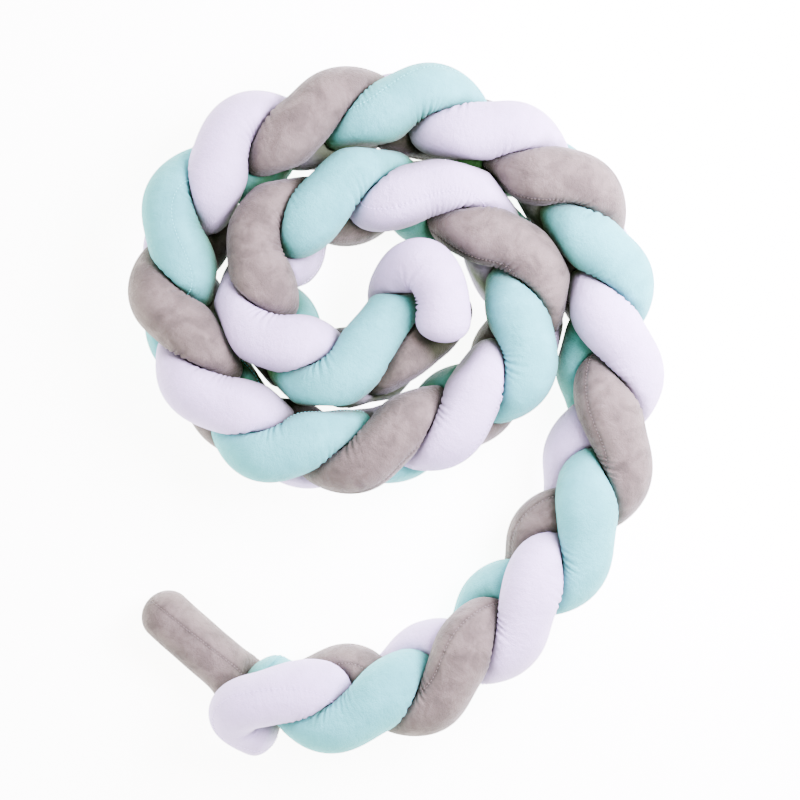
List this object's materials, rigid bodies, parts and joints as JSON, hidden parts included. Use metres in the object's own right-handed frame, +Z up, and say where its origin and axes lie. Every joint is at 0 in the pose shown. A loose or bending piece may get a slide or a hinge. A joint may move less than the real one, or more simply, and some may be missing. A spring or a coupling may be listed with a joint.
{
  "type": "crib bumper",
  "caption": "Braided crib bumper of stuffed plush tubes in white, mint and grey, laid on edge in a flat coil with a loose tail.",
  "frame": {"origin": "on the resting plane, under the middle of the whole piece's bounding box", "axes": "+Z up from the resting plane, +Y along the longest side, from the loose tail end to the far side of the coil, +X to the right seen from above, the side on which the tail joins the coil"},
  "size_m": [0.5276, 0.6898, 0.1298],
  "materials": {
    "white_plush": "short-pile plush",
    "mint_plush": "short-pile plush",
    "grey_plush": "short-pile plush"
  },
  "bodies": {
    "root": {"white_tube": "white_plush", "mint_tube": "mint_plush", "grey_tube": "grey_plush"}
  },
  "joints": []
}
